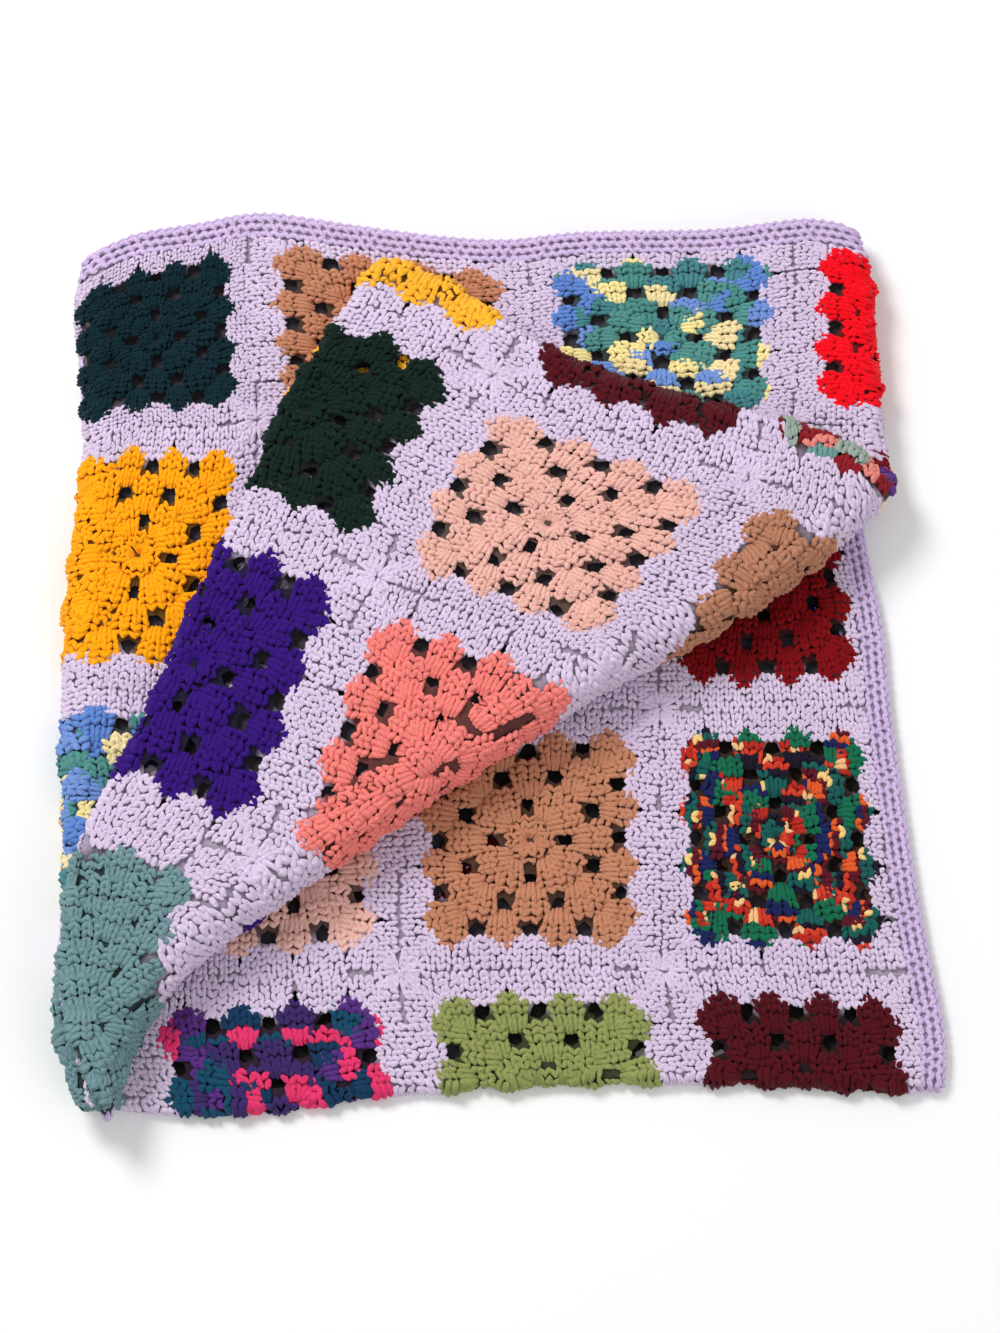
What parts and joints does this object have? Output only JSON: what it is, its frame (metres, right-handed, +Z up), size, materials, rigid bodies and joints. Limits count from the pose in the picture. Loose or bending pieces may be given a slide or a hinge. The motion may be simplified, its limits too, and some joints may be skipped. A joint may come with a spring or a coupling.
{
  "type": "granny square blanket",
  "caption": "Crocheted granny square blanket in mixed colours joined with lavender, folded into a flat packet with one corner turned back.",
  "frame": {"origin": "centre of the bounding box on the surface that the folded blanket rests on", "axes": "+Z up through the layers; +Y from the near hairpin fold to the far border; +X from the left fold to the right border"},
  "size_m": [0.496, 0.5256, 0.0517],
  "materials": {
    "lavender_yarn": "matt worsted yarn",
    "coral_yarn": "matt worsted yarn",
    "peach_yarn": "matt worsted yarn",
    "caramel_yarn": "matt worsted yarn",
    "orange_yarn": "matt worsted yarn",
    "golden_yarn": "matt worsted yarn",
    "red_yarn": "matt worsted yarn",
    "dark_red_yarn": "matt worsted yarn",
    "maroon_yarn": "matt worsted yarn",
    "purple_yarn": "matt worsted yarn",
    "forest_yarn": "matt worsted yarn",
    "dark_teal_yarn": "matt worsted yarn",
    "sage_yarn": "matt worsted yarn",
    "lime_yarn": "matt worsted yarn",
    "blue_mix_yarn": "matt variegated yarn",
    "fire_mix_yarn": "matt variegated yarn",
    "night_mix_yarn": "matt variegated yarn"
  },
  "bodies": {
    "root": {"blanket": "lavender_yarn"}
  },
  "joints": []
}
